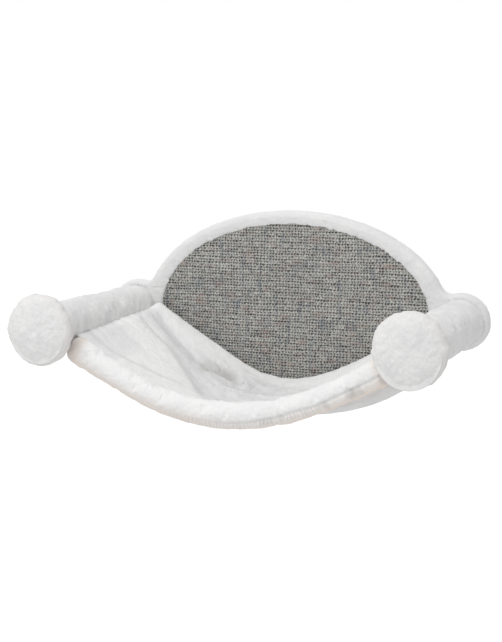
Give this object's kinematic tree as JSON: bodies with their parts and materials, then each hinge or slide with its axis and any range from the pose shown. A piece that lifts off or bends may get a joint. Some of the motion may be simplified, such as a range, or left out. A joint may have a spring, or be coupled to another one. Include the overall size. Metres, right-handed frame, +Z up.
{
  "type": "wall-mounted cat hammock",
  "caption": "Wall-mounted cat hammock: a plush-edged oval sisal board carries two plush-sleeved arms with round end discs, and a padded plush bed hangs between them.",
  "frame": {"origin": "on the wall plane, at the middle of the board's back, on the level of the two arm axes", "axes": "+X along the wall to the right as seen from the room, +Y into the wall, +Z up; the arms stand out along -Y"},
  "size_m": [0.543, 0.297, 0.274],
  "materials": {
    "white_plush": "short soft white plush pile",
    "lining_cloth": "smooth woven lining, warm off-white",
    "soft_filling": "loose polyester wadding",
    "sisal_weave": "grey plain-woven sisal with reddish and bluish flecks",
    "board_wood": "raw fibreboard, fine and even",
    "plug_wood": "raw turned softwood",
    "tube_cardboard": "spiral-wound brown cardboard",
    "zinc_steel": "bright zinc-plated steel"
  },
  "bodies": {
    "root": {"arm_bolt_left": "zinc_steel", "arm_bolt_right": "zinc_steel", "arm_front_plug_left": "plug_wood", "arm_front_plug_right": "plug_wood", "arm_inserts_left": "zinc_steel", "arm_inserts_right": "zinc_steel", "arm_rear_plug_left": "plug_wood", "arm_rear_plug_right": "plug_wood", "arm_sleeve_left": "white_plush", "arm_sleeve_right": "white_plush", "arm_tube_left": "tube_cardboard", "arm_tube_right": "tube_cardboard", "arm_washer_left": "zinc_steel", "arm_washer_right": "zinc_steel", "back_board": "board_wood", "back_hem": "white_plush", "bed_lining": "lining_cloth", "bed_plush": "white_plush", "board_plush_border": "white_plush", "end_disc_bolt_left": "zinc_steel", "end_disc_bolt_right": "zinc_steel", "end_disc_core_left": "board_wood", "end_disc_core_right": "board_wood", "end_disc_plush_left": "white_plush", "end_disc_plush_right": "white_plush", "front_roll": "white_plush", "hanger_plate_left": "zinc_steel", "hanger_plate_right": "zinc_steel", "hanger_screws": "zinc_steel", "roll_filling": "soft_filling", "sisal_panel": "sisal_weave"}
  },
  "joints": []
}
